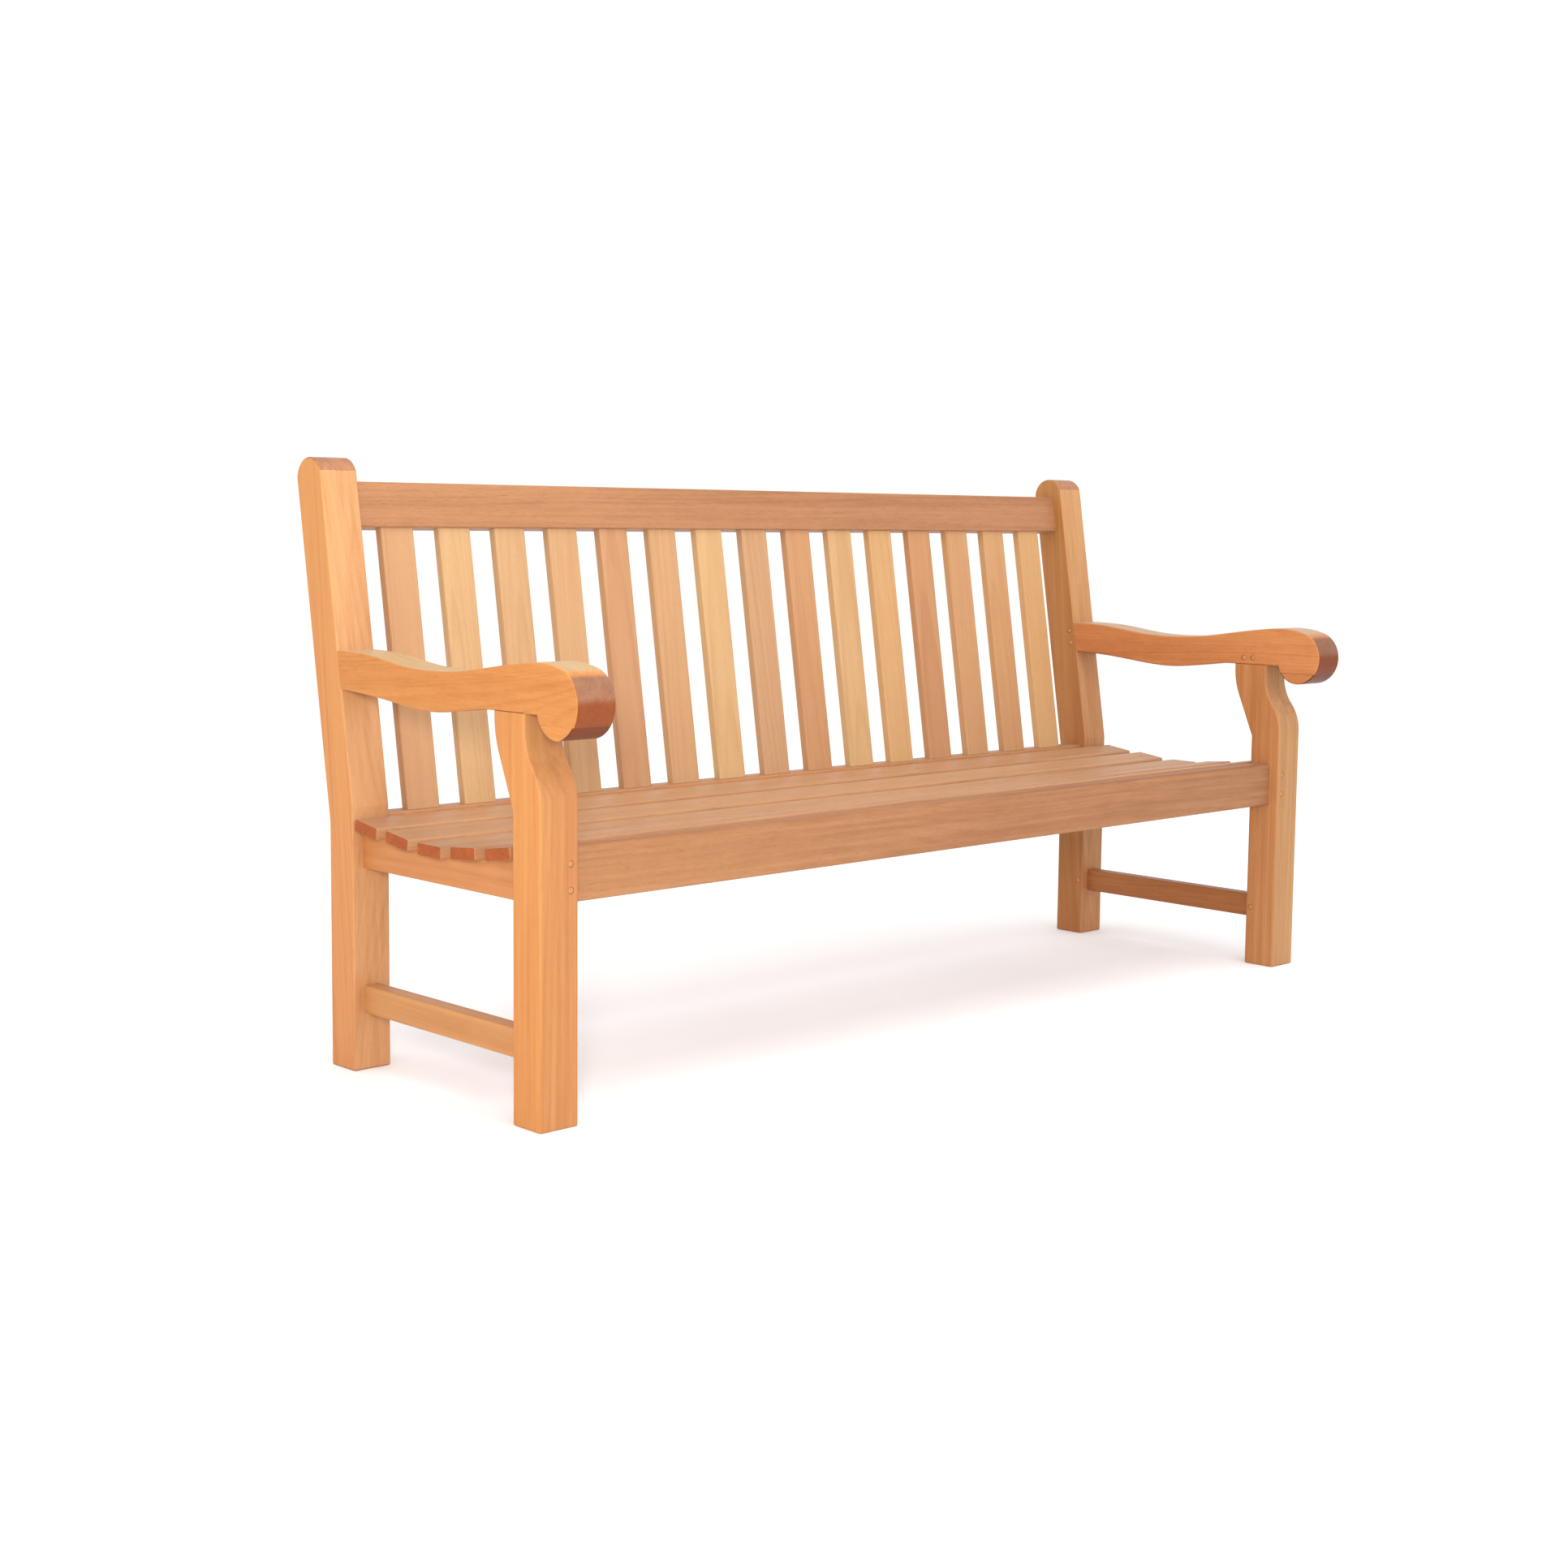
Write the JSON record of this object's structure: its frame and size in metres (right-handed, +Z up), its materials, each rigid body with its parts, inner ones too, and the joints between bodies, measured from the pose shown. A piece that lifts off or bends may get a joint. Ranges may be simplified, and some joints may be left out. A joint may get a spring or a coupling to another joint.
{
  "type": "garden bench",
  "caption": "Slatted hardwood garden bench with scrolled arms, swept front legs and a raked back, pegged together.",
  "frame": {"origin": "on the floor under the middle of the bench", "axes": "+X along the bench to the viewer's right, -Y the way the sitter faces, +Z up"},
  "size_m": [1.8, 0.6782, 0.918],
  "materials": {
    "teak_leg": "oiled new teak, golden orange, satin",
    "teak_arm": "oiled new teak, deeper orange with visible figure, satin",
    "teak_rail": "oiled new teak, pinkish brown with straight grain, satin",
    "teak_back_slat": "oiled new teak, light honey, varied from slat to slat, satin",
    "teak_seat_slat": "oiled new teak, pinkish tan with darker end grain, satin",
    "teak_peg": "end grain of teak dowel, satin",
    "brass_screw": "plain"
  },
  "bodies": {
    "root": {"arm_leg_pegs": "teak_peg", "arm_post_pegs": "teak_peg", "back_slat_01": "teak_back_slat", "back_slat_02": "teak_back_slat", "back_slat_03": "teak_back_slat", "back_slat_04": "teak_back_slat", "back_slat_05": "teak_back_slat", "back_slat_06": "teak_back_slat", "back_slat_07": "teak_back_slat", "back_slat_08": "teak_back_slat", "back_slat_09": "teak_back_slat", "back_slat_10": "teak_back_slat", "back_slat_11": "teak_back_slat", "back_slat_12": "teak_back_slat", "back_slat_13": "teak_back_slat", "back_slat_14": "teak_back_slat", "back_slat_15": "teak_back_slat", "front_rail_pegs": "teak_peg", "front_seat_rail": "teak_rail", "left_arm_scroll_block": "teak_arm", "left_armrest": "teak_arm", "left_back_leg": "teak_leg", "left_front_leg": "teak_leg", "left_seat_bearer": "teak_rail", "left_side_seat_rail": "teak_rail", "left_stretcher": "teak_rail", "rear_rail_pegs": "teak_peg", "rear_seat_rail": "teak_rail", "right_arm_scroll_block": "teak_arm", "right_armrest": "teak_arm", "right_back_leg": "teak_leg", "right_front_leg": "teak_leg", "right_seat_bearer": "teak_rail", "right_side_seat_rail": "teak_rail", "right_stretcher": "teak_rail", "seat_plugs": "teak_peg", "seat_screws": "brass_screw", "seat_slat_1": "teak_seat_slat", "seat_slat_2": "teak_seat_slat", "seat_slat_3": "teak_seat_slat", "seat_slat_4": "teak_seat_slat", "seat_slat_5": "teak_seat_slat", "side_rail_pegs": "teak_peg", "stretcher_pegs": "teak_peg", "top_back_rail": "teak_rail", "top_rail_pegs": "teak_peg"}
  },
  "joints": []
}
